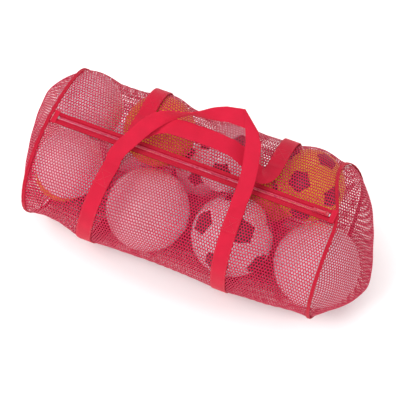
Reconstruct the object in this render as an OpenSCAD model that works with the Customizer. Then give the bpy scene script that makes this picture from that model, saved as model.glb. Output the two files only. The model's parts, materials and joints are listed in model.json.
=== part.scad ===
// Mesh ball bag: a see-through net duffel with a top zipper, two webbing girth straps that run
// on into two carrying handles, and the balls that fill it and give it its shape.
// Frame: X runs along the bag, -Y is the front, Z is up. The origin is on the floor under the
// middle of the bag. Angles round the bag start at the front, and 90 is straight up.

/* [Bag] */
// Length between the two end seams
bag_length = 732; // [600:1:900]
// Middle of the seams along X, set so that the whole part is centred with its end panels
bag_mid = -12; // [-30:1:30]
// Width of the filled bag, front to rear
bag_width = 392; // [370:1:440]
// Height of the filled bag before the floor flattens it
bag_height = 320; // [300:1:380]
// How square the cross-section is, 2 for an ellipse
section_power = 2.3; // [2:0.1:3]
// Height that the floor takes off the bottom
floor_flat = 6; // [2:1:12]
// Thickness of the net as a solid wall
net_t = 2.5; // [1.5:0.5:4]
// How far the end panels dome out where no ball pushes them
dome_h = 26; // [10:1:50]

/* [Webbing] */
// Width of the webbing
webbing_w = 38; // [25:1:50]
// Thickness of the webbing
webbing_t = 2.2; // [1.5:0.1:3]
// Distance between the two straps along the bag
strap_span = 338; // [300:1:360]
// Where the middle of the two straps lies, counted from the middle of the bag
strap_mid = -9; // [-20:1:20]
// How far the front of each strap is drawn to the left, and its rear to the right
strap_skew = 20; // [0:1:25]
// Width of the folded tape round each end seam
binding_w = 12; // [8:1:16]

/* [Handles] */
// Lean of the front handle towards the rear, from upright
front_lean = 38; // [30:1:42]
// Lean of the rear handle towards the front, from upright
rear_lean = 27; // [20:1:34]

/* [Zipper] */
// How far in front of the middle the zipper lies
zip_front = 22; // [16:1:26]
// Whole width of the zipper with its edge strips
zip_w = 32; // [28:1:36]
// Width of the edge strips
zip_strip_w = 9; // [6:0.5:10]
// Width of one row of teeth
row_w = 3; // [2:0.2:4]
// Length of the slider
slider_l = 16; // [12:1:20]
// Length of the pull tab
tab_l = 30; // [20:1:36]

/* [Balls] */
// Thickness of a ball's casing
casing_t = 3; // [2:0.5:5]

/* [Hidden] */

RED = "crimson";
DARK_RED = "firebrick";

// The balls: x, y, z of the centre, and the radius
BALLS = [
  [-311, -74, 215, 82], [-112, -61, 113, 103], [104, -46, 107, 100], [322, -44, 111, 104],
  [-338, 100, 210, 84], [-148, 98, 218, 88.5], [38, 92, 212, 84], [241, 101, 210, 87],
  [-358, -33, 77, 67.5], [-227, 112, 77, 68], [-50, 112, 77, 68], [146, 119, 77, 68]
];
BALL_COLOURS = [
  "white", "white", "white", "white", "white", "orange", "white", "gold",
  "orange", "white", "white", "orange"
];

half_l = bag_length / 2;
function seam_x(side) = bag_mid + side * half_l;
half_w = bag_width / 2;
half_h = bag_height / 2;
gap = 0.3;
strap_off = 1.2;
strap_top = strap_off + webbing_t;
// The net hangs this far above the floor, and the straps under it touch the floor
net_z = strap_top;
axis_z = net_z + half_h - floor_flat;
ball_gap = net_t + 2.5;
blend_power = 30;
cap_blend_power = 6;

// Radius of the plain cross-section at an angle round the bag
function section_r(a) =
  pow(pow(abs(cos(a)) / half_w, section_power) + pow(abs(sin(a)) / half_h, section_power),
      -1 / section_power);

// How far a ball pushes the net out at a station and an angle, or 0 where it doesn't reach
function ball_reach(x, a, b) =
  let (r = b[3] + ball_gap, across = b[2] - axis_z, p = -b[1] * cos(a) + across * sin(a),
       inside = p * p - b[1] * b[1] - across * across + r * r - (x - b[0]) * (x - b[0]))
  abs(x - b[0]) < r && inside > 0 ? max(0, p + sqrt(inside)) : 0;

function total(v) = [for (i = v) 1] * v;

// Radius of the net: the plain section, with each ball that presses on it showing through
function net_r(x, a) =
  let (base = section_r(a))
  base * pow(1 + total([for (b = BALLS) pow(ball_reach(x, a, b) / base, blend_power)]),
             1 / blend_power);

// A point on the net at a station and an angle, moved out by off, and never under the floor
function net_point(x, a, off = 0) =
  let (r = net_r(x, a) + off)
  [x, -r * cos(a), max(axis_z + r * sin(a), net_z - off)];

// Faces of a closed slab between an outer and an inner grid of rows x columns points
function slab_faces(rows, cols) =
  let (n = rows * cols)
  concat(
    [for (i = [0 : rows - 2], j = [0 : cols - 2]) let (p = i * cols + j)
       each [[p, p + 1, p + cols + 1], [p, p + cols + 1, p + cols]]],
    [for (i = [0 : rows - 2], j = [0 : cols - 2]) let (p = n + i * cols + j)
       each [[p, p + cols + 1, p + 1], [p, p + cols, p + cols + 1]]],
    [for (i = [0 : rows - 2], j = [0, cols - 1])
       let (p = i * cols + j, q = p + cols)
       each j == 0 ? [[p, q, n + q], [p, n + q, n + p]] : [[p, n + q, q], [p, n + p, n + q]]],
    [for (i = [0, rows - 1], j = [0 : cols - 2])
       let (p = i * cols + j, q = p + 1)
       each i == 0 ? [[p, n + q, q], [p, n + p, n + q]] : [[p, q, n + q], [p, n + q, n + p]]]
  );

// A closed slab through two grids, each a list of rows of points
module slab(outer, inner) {
  polyhedron([for (row = concat(outer, inner)) each row],
             slab_faces(len(outer), len(outer[0])), convexity = 10);
}

// ---------- Net panels ----------

// The net wraps round from the front edge of the zipper, under the bag, to the rear edge
zip_in = zip_w / 2 - 2;
slit_front_a = atan2(half_h, zip_front + zip_in);
slit_rear_a = atan2(half_h, zip_front - zip_in) - 360;
wrap_steps = 46;
wrap_step = (slit_front_a - slit_rear_a) / wrap_steps;
length_steps = 42;
function wrap_a(i) = slit_front_a - i * wrap_step;
function station(k) = bag_mid - half_l + k * bag_length / length_steps;

module body_net() {
  color(RED, 0.6)
  slab(
    [for (k = [0 : length_steps]) [for (i = [wrap_steps : -1 : 0])
      net_point(station(k), wrap_a(i))]],
    [for (k = [0 : length_steps]) [for (i = [wrap_steps : -1 : 0])
      net_point(station(k), wrap_a(i), -net_t)]]
  );
}

// How far a ball pushes an end panel out, at y and z
function ball_bulge(side, y, z, b) =
  let (r = b[3] + ball_gap, left = r * r - (y - b[1]) * (y - b[1]) - (z - b[2]) * (z - b[2]))
  left > 0 ? max(0, side * (b[0] - bag_mid) + sqrt(left) - half_l) : 0;

function cap_h(side, q, y, z) =
  pow(pow(dome_h * (1 - q * q), cap_blend_power)
      + total([for (b = BALLS) pow(ball_bulge(side, y, z, b), cap_blend_power)]),
      1 / cap_blend_power);

cap_rings = [1, 0.965, 0.92, 0.86, 0.78, 0.68, 0.56, 0.42, 0.27, 0.12];
cap_steps = 40;

// A point of an end panel: q is 1 at the seam and 0 in the middle; depth goes inwards
function cap_point(side, q, a, depth) =
  let (rim = net_point(seam_x(side), a, -depth), y = rim[1] * q,
       z = axis_z + (rim[2] - axis_z) * q)
  [seam_x(side) + side * (gap + max(0, cap_h(side, q, y, z) - depth)), y, z];

module end_net(side) {
  rings = len(cap_rings);
  n = rings * cap_steps;
  points = concat(
    [for (depth = [0, net_t], q = cap_rings, i = [0 : cap_steps - 1])
      cap_point(side, q, i * 360 / cap_steps, depth)],
    [cap_point(side, 0, 0, 0), cap_point(side, 0, 0, net_t)]
  );
  faces = concat(
    [for (k = [0 : rings - 2], i = [0 : cap_steps - 1])
       let (j = (i + 1) % cap_steps, p = k * cap_steps)
       each [[p + i, p + cap_steps + i, p + cap_steps + j], [p + i, p + cap_steps + j, p + j]]],
    [for (k = [0 : rings - 2], i = [0 : cap_steps - 1])
       let (j = (i + 1) % cap_steps, p = n + k * cap_steps)
       each [[p + i, p + cap_steps + j, p + cap_steps + i], [p + i, p + j, p + cap_steps + j]]],
    [for (i = [0 : cap_steps - 1]) let (j = (i + 1) % cap_steps, p = n - cap_steps)
       each [[p + i, 2 * n, p + j], [n + p + i, n + p + j, 2 * n + 1]]],
    [for (i = [0 : cap_steps - 1]) let (j = (i + 1) % cap_steps)
       each [[i, j, n + j], [i, n + j, n + i]]]
  );
  color(RED, 0.6)
  polyhedron(points, side > 0 ? [for (f = faces) [f[0], f[2], f[1]]] : faces, convexity = 10);
}

// The folded tape that closes each end seam, a flat ring round the bag
module end_binding(side) {
  ring_steps = 48;
  corners = [[-1, strap_off], [1, strap_off], [1, strap_top], [-1, strap_top]];
  inner_x = seam_x(side) - side * bag_length / length_steps;
  function ring_r(a) = max(net_r(seam_x(side), a),
                           0.6 * net_r(seam_x(side), a) + 0.4 * net_r(inner_x, a));
  points = [for (i = [0 : ring_steps - 1], c = corners)
    let (a = i * 360 / ring_steps, r = ring_r(a) + c[1])
    [seam_x(side) + c[0] * binding_w / 2, -r * cos(a), max(axis_z + r * sin(a), net_z - c[1])]];
  faces = [for (i = [0 : ring_steps - 1], k = [0 : 3])
    let (p = i * 4, q = (i + 1) % ring_steps * 4, m = (k + 1) % 4)
    each [[p + k, p + m, q + m], [p + k, q + m, q + k]]];
  color(DARK_RED) polyhedron(points, faces, convexity = 10);
}

// ---------- Zipper ----------

// The zipper is straight: its tapes lie on the net's top, and the slider runs along X
zip_z = axis_z + section_r(90) + gap;
tape_t = 1;
teeth_h = 2.4;
strip_t = 2;
zip_end = half_l - binding_w / 2 - 1;
zip_gap = 0.8;
stop_l = 3;
end_tab_l = 14;
stop_x = zip_end - end_tab_l - stop_l / 2;

module zip_tape(side) {
  color(DARK_RED)
  translate([bag_mid - zip_end, -zip_front + (side < 0 ? -zip_w / 2 : zip_gap), zip_z])
    cube([2 * zip_end, zip_w / 2 - zip_gap, tape_t]);
}

// One row of the moulded teeth, as a solid bar with bevelled shoulders
module zip_teeth(side) {
  reach = zip_end - end_tab_l;
  color("lightpink")
  translate([bag_mid, -zip_front, zip_z + tape_t])
    mirror([0, side < 0 ? 1 : 0, 0])
      translate([-reach, zip_gap, 0]) rotate([90, 0, 90])
        linear_extrude(2 * reach)
          polygon([[0, 0], [row_w, 0], [row_w - 0.8, teeth_h], [0, teeth_h]]);
}

// The strip that is folded over the net's edge and sewn down along the tape
module zip_strip(side) {
  color(DARK_RED)
  translate([bag_mid - zip_end,
             -zip_front + (side < 0 ? -zip_w / 2 : zip_w / 2 - zip_strip_w), zip_z + tape_t])
    cube([2 * zip_end, zip_strip_w, strip_t]);
}

// The two clips that keep the slider on the teeth
module zip_stops() {
  color("silver")
  for (side = [-1, 1])
    translate([bag_mid + side * stop_x - stop_l / 2, -zip_front - row_w - 0.6,
               zip_z + tape_t + teeth_h])
      cube([stop_l, 2 * row_w + 1.2, 1.2]);
}

// A folded tab sewn over each end of the zipper
module zip_end_tab(side) {
  color(RED)
  translate([bag_mid + (side > 0 ? zip_end - end_tab_l + gap : -zip_end),
             -zip_front - zip_w / 2 - 2, zip_z + tape_t + strip_t + gap])
    cube([end_tab_l - gap, zip_w + 4, strip_t]);
}

// The slider rests at the right end, with the bag closed
slider_x = bag_mid + stop_x - stop_l / 2 - slider_l / 2 - 1;
slider_w = 2 * row_w + 5;
slider_top = zip_z + tape_t + teeth_h + gap;
slider_plate_t = 1.2;
lug_h = 3.4;
pin_z = slider_top + slider_plate_t + 1.9;
pin_r = 0.7;

module zip_slider() {
  color(RED)
  translate([slider_x, -zip_front, 0]) {
    // Top plate with its side flanges, and the plate under the tapes
    translate([-slider_l / 2, -slider_w / 2, slider_top])
      cube([slider_l, slider_w, slider_plate_t]);
    for (side = [-1, 1])
      translate([-slider_l / 2, side * (slider_w / 2 - 0.5) - 0.5, zip_z + tape_t + gap])
        cube([slider_l, 1, teeth_h + slider_plate_t]);
    translate([-slider_l / 2, -slider_w / 2, zip_z - gap - slider_plate_t])
      cube([slider_l, slider_w, slider_plate_t]);
    // The post between the two rows that joins the plates
    translate([-3, -0.4, zip_z - gap - slider_plate_t])
      cube([6, 0.8, slider_top - zip_z + gap + 2 * slider_plate_t]);
    // Two lugs with the pin that the pull tab swings on
    for (side = [-1, 1])
      translate([-2.2, side * 3.1 - 0.6, slider_top + slider_plate_t - 0.2])
        cube([4.4, 1.2, lug_h]);
    translate([0, 3.4, pin_z]) rotate([90, 0, 0]) cylinder(h = 6.8, r = pin_r, $fn = 32);
  }
}

// The tab that is pulled: an eye on the pin and a flat tongue, lying back along the teeth
module zip_pull_tab() {
  tab_w = 8;
  tab_t = 1.4;
  eye_r = 1.6;
  color(RED)
  translate([slider_x, -zip_front, pin_z])
    difference() {
      union() {
        translate([0, 2.2, 0]) rotate([90, 0, 0]) cylinder(h = 4.4, r = eye_r, $fn = 32);
        translate([-7, -2.2, -tab_t / 2]) cube([7, 4.4, tab_t]);
        translate([-tab_l, -tab_w / 2, -tab_t / 2]) cube([tab_l - 6, tab_w, tab_t]);
      }
      translate([0, 4, 0]) rotate([90, 0, 0]) cylinder(h = 8, r = pin_r + 0.25, $fn = 32);
      translate([-tab_l + 5, 0, -3]) cylinder(h = 6, r = 2, $fn = 32);
    }
}

// ---------- Straps and handles ----------

// Where the straps end and the handles begin, counted in steps round the net
root_front_i = 2;
root_rear_i = wrap_steps - 3;
front_side = -1;
rear_side = 1;

// How far a strap is drawn along the bag at an angle: to the left in front, right behind
function skew(a) = a > -60 ? -strap_skew : a < -120 ? strap_skew : -strap_skew * (a + 90) / 30;
function strap_x(side, a) = bag_mid + strap_mid + side * strap_span / 2 + skew(a);

// The webbing is stiff across its width, so it lies level on the highest net under it
function strap_r(side, a) =
  max([for (u = [-1.5 : 0.25 : 1.5]) net_r(strap_x(side, a) + u * webbing_w / 2, a)]);

// A point on a strap, u from -1 at its left edge to 1 at its right, off above the net
function strap_point(side, a, u, off) =
  let (r = strap_r(side, a) + off)
  [strap_x(side, a) + u * webbing_w / 2, -r * cos(a), max(axis_z + r * sin(a), net_z - off)];

module girth_strap(side) {
  rows = [for (off = [strap_top, strap_off])
    [for (i = [root_front_i : root_rear_i]) [for (u = [-1 : 0.5 : 1])
      strap_point(side, wrap_a(i), u, off)]]];
  color(RED) slab(rows[0], rows[1]);
}

// The sewn box with its crossed bars that holds each end of a handle on the strap
module root_stitching(side, root_i) {
  along = root_i < wrap_steps / 2 ? 1 : -1;
  thread_t = 0.8;
  inset = 4 / webbing_w * 2;
  bars = [[-1, 0.3, 1, 0.3], [-1, 2.3, 1, 2.3], [-1, 0.3, 1, 2.3], [-1, 2.3, 1, 0.3],
          [-1, 0.3, -1, 2.3], [1, 0.3, 1, 2.3]];
  function seam_point(bar, t) =
    strap_point(side, wrap_a(root_i + along * (bar[1] + (bar[3] - bar[1]) * t)),
                (bar[0] + (bar[2] - bar[0]) * t) * (1 - inset), strap_top + gap + thread_t);
  color("mediumvioletred")
  for (bar = bars, k = [0 : 3])
    stitch(seam_point(bar, k / 4), seam_point(bar, (k + 1) / 4), thread_t);
}

// One straight run of thread between two points
module stitch(start, end, t) {
  run = end - start;
  flat = norm([run[0], run[1]]);
  translate(start) rotate([0, -atan2(run[2], flat), atan2(run[1], run[0])])
    translate([-t / 2, -t / 2, -t / 2]) cube([norm(run) + t, t, t]);
}

// The hinge line of a handle lies just above the end of its straps
hinge_off = strap_top + 2;
front_root_a = wrap_a(root_front_i);
rear_root_a = wrap_a(root_rear_i);
front_hinge = hinge_point(front_root_a, 3);
rear_hinge = hinge_point(rear_root_a, -3);
function hinge_point(a, ahead) =
  let (r = max(strap_r(-1, a), strap_r(1, a)) + hinge_off, t = atan(ahead / r))
  [0, -r * cos(a + t), axis_z + r * sin(a + t)];

// Routes of the handles: distance along the bag, height above the hinge line, and turn of the
// webbing, 0 with its face in the plane of the loop and 90 with its face up
front_left_x = strap_x(-1, front_root_a);
front_right_x = strap_x(1, front_root_a);
rear_left_x = strap_x(-1, rear_root_a);
rear_right_x = strap_x(1, rear_root_a);
FRONT_ROUTE = [
  [front_left_x, 0, 0], [front_left_x, 12, 0], [front_left_x + 18, 58, 0],
  [front_left_x + 42, 106, 5], [front_left_x + 68, 146, 20], [front_left_x + 98, 174, 50],
  [-72, 188, 72], [-34, 197, 68], [3, 205, 45], [36, 212, 20], [68, 217, 5], [92, 220, 0],
  [106, 204, 0], [front_right_x - 10, 160, 0], [front_right_x, 104, 0],
  [front_right_x + 1, 50, 0], [front_right_x, 14, 0], [front_right_x, 0, 0]
];
REAR_ROUTE = [
  [rear_left_x, 0, 0], [rear_left_x, 11, 0], [rear_left_x + 19, 42, 10],
  [rear_left_x + 44, 70, 35], [rear_left_x + 70, 92, 65], [-70, 105, 85], [-37, 110, 90],
  [-2, 111, 90], [33, 107, 88], [63, 97, 72], [90, 80, 45], [rear_right_x - 50, 56, 20],
  [rear_right_x - 21, 32, 5], [rear_right_x, 11, 0], [rear_right_x, 0, 0]
];

// Direction of a route at point i, from its neighbours
function heading(route, i) =
  let (a = route[max(0, i - 1)], b = route[min(len(route) - 1, i + 1)],
       v = [b[0] - a[0], b[1] - a[1]])
  v / norm(v);

// Webbing along a route in the plane of x and height, u to one edge and w to one face
function webbing_point(route, i, u, w) =
  let (p = route[i], t = heading(route, i), turn = p[2],
       across = [-t[1] * cos(turn), sin(turn), t[0] * cos(turn)],
       face = [t[1] * sin(turn), cos(turn), -t[0] * sin(turn)])
  [p[0], 0, p[1]] + across * u * webbing_w / 2 + face * w * webbing_t / 2;

module webbing(route) {
  slab([for (i = [0 : len(route) - 1]) [for (u = [-1, 0, 1]) webbing_point(route, i, u, -1)]],
       [for (i = [0 : len(route) - 1]) [for (u = [-1, 0, 1]) webbing_point(route, i, u, 1)]]);
}

module handle_front() {
  color(RED) translate(front_hinge) rotate([-front_lean, 0, 0]) webbing(FRONT_ROUTE);
}

module handle_rear() {
  color(RED) translate(rear_hinge) rotate([rear_lean, 0, 0]) webbing(REAR_ROUTE);
}

// ---------- Balls ----------

module ball(i) {
  b = BALLS[i];
  color(BALL_COLOURS[i]) translate([b[0], b[1], b[2]])
    difference() {
      sphere(r = b[3], $fn = 64);
      sphere(r = b[3] - casing_t, $fn = 64);
    }
}

body_net();
end_net(-1);  // end_net_left
end_net(1);  // end_net_right
end_binding(-1);  // end_binding_left
end_binding(1);  // end_binding_right
zip_tape(-1);  // zip_tape_front
zip_tape(1);  // zip_tape_rear
zip_teeth(-1);  // zip_teeth_front
zip_teeth(1);  // zip_teeth_rear
zip_strip(-1);  // zip_strip_front
zip_strip(1);  // zip_strip_rear
zip_stops();
zip_end_tab(-1);  // zip_end_tab_left
zip_end_tab(1);  // zip_end_tab_right
girth_strap(-1);  // girth_strap_left
girth_strap(1);  // girth_strap_right
root_stitching(-1, root_front_i);  // root_stitching_front_left
root_stitching(1, root_front_i);  // root_stitching_front_right
root_stitching(-1, root_rear_i);  // root_stitching_rear_left
root_stitching(1, root_rear_i);  // root_stitching_rear_right
zip_slider();
zip_pull_tab();
handle_front();
handle_rear();
ball(0);  // ball_front_1
ball(1);  // ball_front_2
ball(2);  // ball_front_3
ball(3);  // ball_front_4
ball(4);  // ball_top_1
ball(5);  // ball_top_2
ball(6);  // ball_top_3
ball(7);  // ball_top_4
ball(8);  // ball_under_1
ball(9);  // ball_under_2
ball(10);  // ball_under_3
ball(11);  // ball_under_4
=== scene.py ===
"""Mesh ball bag: a see-through net duffel with a top zipper, webbing straps and handles, full of balls.

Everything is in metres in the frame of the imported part: X runs along the bag, -Y is the front, Z is up.
Angles round the bag start at the front, and a quarter turn is straight up.
"""

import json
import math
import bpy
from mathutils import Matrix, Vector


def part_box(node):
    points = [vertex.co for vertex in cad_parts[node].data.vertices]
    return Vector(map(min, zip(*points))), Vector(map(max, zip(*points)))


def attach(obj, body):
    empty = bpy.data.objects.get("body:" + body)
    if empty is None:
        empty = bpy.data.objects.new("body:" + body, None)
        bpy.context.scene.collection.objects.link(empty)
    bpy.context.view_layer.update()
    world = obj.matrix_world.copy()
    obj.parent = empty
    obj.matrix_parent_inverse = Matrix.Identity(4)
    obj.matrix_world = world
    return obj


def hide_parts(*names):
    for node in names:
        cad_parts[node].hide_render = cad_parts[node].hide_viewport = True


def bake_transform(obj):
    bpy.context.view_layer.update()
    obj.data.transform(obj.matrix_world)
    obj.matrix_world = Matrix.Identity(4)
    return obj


bl_info = {
    "name": "Mesh Ball Bag",
    "version": (1, 0, 0),
    "blender": (4, 5, 0),
    "location": "View3D > Sidebar > Ball Bag",
    "description": "Dresses the packed frame of a mesh ball bag",
    "category": "Object",
}

import bpy
import numpy as np
from bpy.props import FloatProperty, FloatVectorProperty, IntProperty, PointerProperty
from mathutils import Euler, Vector

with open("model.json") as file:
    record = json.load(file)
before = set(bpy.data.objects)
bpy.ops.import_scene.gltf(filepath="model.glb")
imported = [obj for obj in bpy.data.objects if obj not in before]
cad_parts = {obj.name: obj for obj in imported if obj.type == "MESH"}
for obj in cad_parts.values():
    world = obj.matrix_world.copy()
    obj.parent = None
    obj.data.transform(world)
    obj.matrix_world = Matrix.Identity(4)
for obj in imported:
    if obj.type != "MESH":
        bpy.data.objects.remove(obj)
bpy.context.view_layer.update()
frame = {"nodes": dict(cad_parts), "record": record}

MM = 0.001


def cad_box(node):
    low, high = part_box(node)
    return np.array(low), np.array(high)


# ---------- Measures taken from the frame ----------

NET_LOW, NET_HIGH = cad_box("body_net")
BAG_MID = (NET_LOW[0] + NET_HIGH[0]) / 2
HALF_LENGTH = (NET_HIGH[0] - NET_LOW[0]) / 2
HALF_WIDTH, HALF_HEIGHT, SECTION_POWER = 196 * MM, 160 * MM, 2.3
AXIS_Z = NET_HIGH[2] - HALF_HEIGHT
NET_FLOOR = NET_LOW[2]
STRAP_OFF, WEB_WIDTH, WEB_THICK = 1.2 * MM, 38 * MM, 2.2 * MM
STRAP_TOP = STRAP_OFF + WEB_THICK
STRAP_MID, STRAP_SPAN, STRAP_SKEW = -9 * MM, 338 * MM, 20 * MM
ZIP_Y = -22 * MM
ZIP_HALF = 16 * MM
ZIP_STRIP = 9 * MM
ZIP_Z = NET_HIGH[2] + 0.3 * MM

# The right seam is drawn in round this angle, over this reach to each side, and by this much
CORNER_ANGLE, CORNER_REACH, CORNER_PULL = math.radians(134), math.radians(66), 48 * MM

# Slack corners: where the slack starts and is full, from the bag's middle, and how deep the net falls in
SLACK_CORNERS = ((-0.215, -0.33, 20 * MM), (0.24, 0.36, 15 * MM))
SLACK_ANGLE, SLACK_REACH = math.radians(-30), math.radians(38)

# How sharply the net turns from its own curve on to a ball, and how far it stands off the ball
PUSH_POWER, BALL_GAP = 30, 5 * MM

BALL_NAMES = [f"ball_{row}_{n}" for row in ("front", "top", "under") for n in (1, 2, 3, 4)]


def ball_sizes():
    found = {}
    for name in BALL_NAMES:
        low, high = cad_box(name)
        found[name] = ((low + high) / 2, float((high - low).mean() / 2))
    return found


BALLS = ball_sizes()
CENTRES = np.array([centre for centre, radius in BALLS.values()])
RADII = np.array([radius for centre, radius in BALLS.values()])

WRAP_STEPS = 46
SLIT_FRONT = math.atan2(160, 36)
SLIT_REAR = math.atan2(160, 8) - 2 * math.pi
WRAP_STEP = (SLIT_FRONT - SLIT_REAR) / WRAP_STEPS
ROOT_FRONT = SLIT_FRONT - 2 * WRAP_STEP
ROOT_REAR = SLIT_FRONT - 43 * WRAP_STEP


def hinge_of(joint_name):
    for joint in frame["record"]["behaviour"]["joints"]:
        if joint["name"] == joint_name:
            return np.array(joint["pos_m"])
    raise RuntimeError(f"the packed record has no joint {joint_name}")


FRONT_HINGE = hinge_of("front_handle_hinge")
REAR_HINGE = hinge_of("rear_handle_hinge")


# ---------- Settings ----------

class BallBagSettings(bpy.types.PropertyGroup):
    """Sizes and colours that change the look of the bag"""

    net_pitch: FloatProperty(
        name="Net pitch", description="Distance between the holes of the net",
        default=6.9 * MM, min=3 * MM, max=12 * MM, unit="LENGTH", precision=4)
    net_thread: FloatProperty(
        name="Net thread", description="Width of the net between two holes",
        default=2.25 * MM, min=0.5 * MM, max=4 * MM, unit="LENGTH", precision=4)
    net_thickness: FloatProperty(
        name="Net thickness", description="Thickness of the knitted net",
        default=0.7 * MM, min=0.2 * MM, max=2 * MM, unit="LENGTH", precision=4)
    net_sag: FloatProperty(
        name="Net sag", description="How far the net pulls in between its supports",
        default=9 * MM, min=0.0, max=20 * MM, unit="LENGTH", precision=4)
    stitch_pitch: FloatProperty(
        name="Stitch length", description="Distance from one stitch to the next",
        default=4.2 * MM, min=2 * MM, max=8 * MM, unit="LENGTH", precision=4)
    tooth_pitch: FloatProperty(
        name="Tooth pitch", description="Distance from one zipper coil to the next",
        default=2.6 * MM, min=1.5 * MM, max=5 * MM, unit="LENGTH", precision=4)
    net_panels: IntProperty(
        name="Net pieces", description="Pieces that the long net is divided into", default=5, min=3, max=9)
    net_colour: FloatVectorProperty(
        name="Net", description="Colour of the net", subtype="COLOR", size=3,
        default=(0.62, 0.006, 0.058), min=0, max=1)
    webbing_colour: FloatVectorProperty(
        name="Webbing", description="Colour of the straps and handles", subtype="COLOR", size=3,
        default=(0.62, 0.007, 0.038), min=0, max=1)
    binding_colour: FloatVectorProperty(
        name="Binding", description="Colour of the seam binding and zipper tapes", subtype="COLOR", size=3,
        default=(0.54, 0.004, 0.030), min=0, max=1)
    coil_colour: FloatVectorProperty(
        name="Zipper coil", description="Colour of the zipper's coil", subtype="COLOR", size=3,
        default=(0.86, 0.10, 0.20), min=0, max=1)
    white_colour: FloatVectorProperty(
        name="White ball", description="Colour of the white balls", subtype="COLOR", size=3,
        default=(0.90, 0.89, 0.95), min=0, max=1)
    orange_colour: FloatVectorProperty(
        name="Orange ball", description="Colour of the orange balls", subtype="COLOR", size=3,
        default=(0.95, 0.40, 0.02), min=0, max=1)
    yellow_colour: FloatVectorProperty(
        name="Yellow ball", description="Colour of the yellow ball", subtype="COLOR", size=3,
        default=(0.95, 0.62, 0.02), min=0, max=1)
    dark_colour: FloatVectorProperty(
        name="Dark panels", description="Colour of the dark ball panels", subtype="COLOR", size=3,
        default=(0.045, 0.02, 0.03), min=0, max=1)
    floor_colour: FloatVectorProperty(
        name="Floor", description="Colour of the floor", subtype="COLOR", size=3,
        default=(0.93, 0.93, 0.93), min=0, max=1)


def settings():
    return bpy.context.scene.ball_bag


# ---------- Shape of the filled net ----------

def smooth(low, high, value):
    """0 at low and 1 at high, with an easy start and stop. Low may be above high"""
    t = np.clip((value - low) / (high - low), 0, 1)
    return t * t * (3 - 2 * t)


def section_radius(angle):
    flat = np.abs(np.cos(angle)) / HALF_WIDTH
    tall = np.abs(np.sin(angle)) / HALF_HEIGHT
    return (flat ** SECTION_POWER + tall ** SECTION_POWER) ** (-1 / SECTION_POWER)


def ball_reaches(x, angle, gap):
    """How far each ball pushes the net out, one row for each ball"""
    x, angle = np.broadcast_arrays(x, angle)
    rows = []
    for centre, radius in zip(CENTRES, RADII):
        up = centre[2] - AXIS_Z
        along = -centre[1] * np.cos(angle) + up * np.sin(angle)
        inside = along ** 2 - centre[1] ** 2 - up ** 2 + (radius + gap) ** 2 - (x - centre[0]) ** 2
        rows.append(np.where(inside > 0, np.maximum(0, along + np.sqrt(np.maximum(inside, 0))), 0))
    return np.array(rows)


def net_radius(x, angle, sag=0.0, gap=BALL_GAP):
    base = section_radius(angle) - sag
    pushed = (ball_reaches(x, angle, gap) / base) ** PUSH_POWER
    return base * (1 + pushed.sum(axis=0)) ** (1 / PUSH_POWER)


def strap_shift(side, angle):
    """How far a strap slants along the bag. The left one slants more across the front"""
    degrees = np.degrees(angle)
    lean = np.interp(degrees, [-90, -12, 62], [0, -15 * MM, 22 * MM]) if side < 0 else 0
    return lean + np.where(degrees > -60, -STRAP_SKEW,
                           np.where(degrees < -120, STRAP_SKEW, -STRAP_SKEW * (degrees + 90) / 30))


def strap_x(side, angle):
    return BAG_MID + STRAP_MID + side * STRAP_SPAN / 2 + strap_shift(side, angle)


def slack(x, angle):
    """Both lower front corners have no ball behind them, so the net there falls in"""
    depth = sum(smooth(BAG_MID + start, BAG_MID + full, x) * deep for start, full, deep in SLACK_CORNERS)
    apart = np.abs(angle - SLACK_ANGLE) / SLACK_REACH
    return depth * np.cos(math.pi / 2 * np.minimum(apart, 1)) ** 2


def sag_depth(x, angle):
    """The net pulls in between the seams, the straps and the zipper, and crinkles beside them"""
    left, right = strap_x(-1, angle), strap_x(1, angle)
    clear = WEB_WIDTH / 2 + 12 * MM
    bays = [(BAG_MID - HALF_LENGTH + 8 * MM, left - clear), (left + clear, right - clear),
            (right + clear, BAG_MID + HALF_LENGTH - 8 * MM)]
    depth = np.zeros(np.broadcast(x, angle).shape)
    for low, high in bays:
        t = np.clip((x - low) / (high - low), 0, 1)
        depth = np.maximum(depth, np.sin(math.pi * t) ** 0.8)
    upper = smooth(math.radians(2), math.radians(30), angle)
    taut = 1 - 0.75 * smooth(math.radians(-186), math.radians(-215), angle)
    from_zip = np.minimum(SLIT_FRONT - angle, angle - SLIT_REAR)
    held = smooth(math.radians(3), math.radians(22), from_zip)
    lying = 1 - smooth(math.radians(24), math.radians(40), np.abs(angle + math.pi / 2))
    amount = settings().net_sag * (0.55 + 0.45 * upper) * taut * held * (1 - lying) * depth
    near_zip = np.exp(-((from_zip - math.radians(9)) / math.radians(7)) ** 2)
    crinkle = np.sin(2 * math.pi * (x / 0.043 + 0.35 * np.sin(x / 0.061))) ** 2
    ripple = np.sin(2 * math.pi * (x / 0.027 + 1.6 * angle + 0.5 * np.sin(x / 0.035)))
    return amount + 2.2 * MM * near_zip * crinkle * depth + 0.5 * MM * ripple * held * depth * (1 - lying)


def net_point(x, angle, off=0.0, sag=0.0, gap=BALL_GAP):
    radius = net_radius(x, angle, sag, gap) + off
    return np.stack([np.broadcast_to(x, radius.shape), -radius * np.cos(angle),
                     np.maximum(AXIS_Z + radius * np.sin(angle), NET_FLOOR - off)], axis=-1)


def sagged_point(x, angle):
    """A point of the long net, drawn in along with the right seam"""
    start = strap_x(1, angle) + 40 * MM
    share = np.clip((x - start) / (seam_x(1) - start), 0, 1)
    x = x + (seam_x(1, angle) - seam_x(1)) * share ** 1.5
    return net_point(x, angle, 0.2 * MM, sag_depth(x, angle) + slack(x, angle), 3.4 * MM)


def strap_radius(side, angle):
    spread = np.linspace(-1.5, 1.5, 13) * WEB_WIDTH / 2
    angle = np.atleast_1d(angle)
    return net_radius(strap_x(side, angle)[:, None] + spread, angle[:, None]).max(axis=1)


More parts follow.
